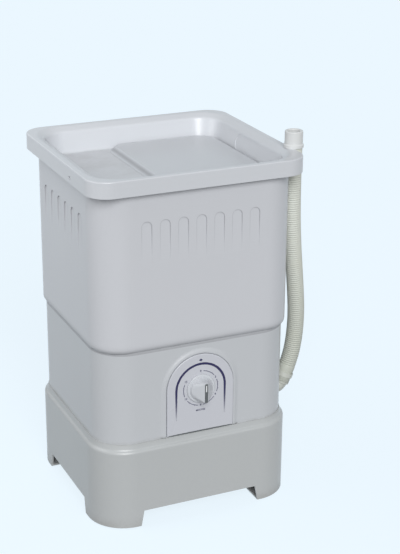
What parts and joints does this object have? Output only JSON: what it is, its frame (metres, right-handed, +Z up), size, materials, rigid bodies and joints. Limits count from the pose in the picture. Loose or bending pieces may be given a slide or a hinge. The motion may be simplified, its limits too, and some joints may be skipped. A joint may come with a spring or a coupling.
{
  "type": "single-tub washing machine",
  "caption": "Upright pulsator washing machine: fluted plastic tub on a stepped cabinet and footed base, tray rim with lift-off lid, timer knob and ribbed drain hose on the side.",
  "frame": {"origin": "on the floor under the middle of the machine", "axes": "+X to the machine's right seen from the front, +Y to the back, +Z up"},
  "size_m": [0.5102, 0.4564, 0.787],
  "materials": {
    "tub_plastic": "semi-gloss moulded plastic, cool light grey",
    "rim_plastic": "semi-gloss moulded plastic, lighter grey",
    "base_plastic": "satin moulded plastic, grey",
    "panel_plastic": "smooth pale lilac-grey plastic",
    "knob_plastic": "glossy white plastic",
    "hose_plastic": "soft ivory-grey plastic",
    "white_plastic": "white moulded plastic",
    "pulsator_plastic": "smooth blue-grey plastic",
    "pipe_plastic": "grey moulded pipe",
    "rubber": "black moulded rubber",
    "screw_steel": "bright zinc-plated steel",
    "shaft_steel": "ground steel",
    "bronze": "sintered bronze",
    "housing_alloy": "cast alloy",
    "pulley_alloy": "turned cast alloy",
    "motor_paint": "dark grey enamel",
    "bracket_paint": "black enamel on sheet steel",
    "core_steel": "stacked core sheet",
    "electric_plastic": "black insulating plastic",
    "capacitor_plastic": "pale grey case",
    "clip_steel": "sheet steel",
    "lead_jacket": "black flexible jacket"
  },
  "bodies": {
    "machine": {"base_stand": "base_plastic", "bearing_housing": "housing_alloy", "bracket_screws": "screw_steel", "cabinet_screws": "screw_steel", "capacitor": "capacitor_plastic", "capacitor_clip": "clip_steel", "control_panel": "panel_plastic", "cord_gland": "electric_plastic", "deck_screws": "screw_steel", "drain_elbow": "pipe_plastic", "drain_hose": "hose_plastic", "drain_strainer": "pulsator_plastic", "electric_screws": "screw_steel", "foot_pads": "rubber", "hose_clamp": "hose_plastic", "hose_nozzle": "white_plastic", "housing_screws": "screw_steel", "lower_cabinet": "tub_plastic", "motor_bearings": "shaft_steel", "motor_bolts": "screw_steel", "motor_bracket": "bracket_paint", "motor_case": "motor_paint", "motor_lead": "lead_jacket", "motor_lower_shield": "housing_alloy", "motor_stator": "core_steel", "motor_upper_shield": "housing_alloy", "rear_cover": "base_plastic", "rear_cover_screws": "screw_steel", "rubber_mounts": "rubber", "shaft_bushes": "bronze", "shaft_seal": "rubber", "supply_lead": "lead_jacket", "terminal_block": "electric_plastic", "timer_case": "electric_plastic", "timer_lead": "lead_jacket", "timer_screws": "screw_steel", "top_deck": "rim_plastic", "tub_screws": "screw_steel", "v_belt": "rubber", "wash_tub": "tub_plastic"},
    "lid": {"lid_panel": "rim_plastic"},
    "knob": {"timer_knob": "knob_plastic", "timer_shaft": "shaft_steel"},
    "drive": {"pulsator": "pulsator_plastic", "pulsator_screw": "screw_steel", "drive_shaft": "shaft_steel", "driven_pulley": "pulley_alloy", "pulley_nut": "screw_steel"},
    "rotor": {"motor_shaft": "shaft_steel", "motor_rotor": "core_steel", "motor_pulley": "pulley_alloy"}
  },
  "joints": [
    {"name": "lid_lift", "type": "slide", "parent": "machine", "child": "lid", "axis": [0, 0, 1], "range_m": [0, 0.12]},
    {"name": "knob_turn", "type": "hinge", "parent": "machine", "child": "knob", "pos_m": [0, -0.205, 0.29], "axis": [0, 1, 0], "range_deg": [0, 300]},
    {"name": "drive_spin", "type": "hinge", "parent": "machine", "child": "drive", "pos_m": [0, 0, 0.35], "axis": [0, 0, 1], "continuous": true},
    {"name": "rotor_spin", "type": "hinge", "parent": "machine", "child": "rotor", "pos_m": [0, 0.112, 0.15], "axis": [0, 0, 1], "continuous": true}
  ],
  "couplings": [
    {"joint": "rotor_spin", "follows": "drive_spin", "ratio": 3.9859}
  ]
}
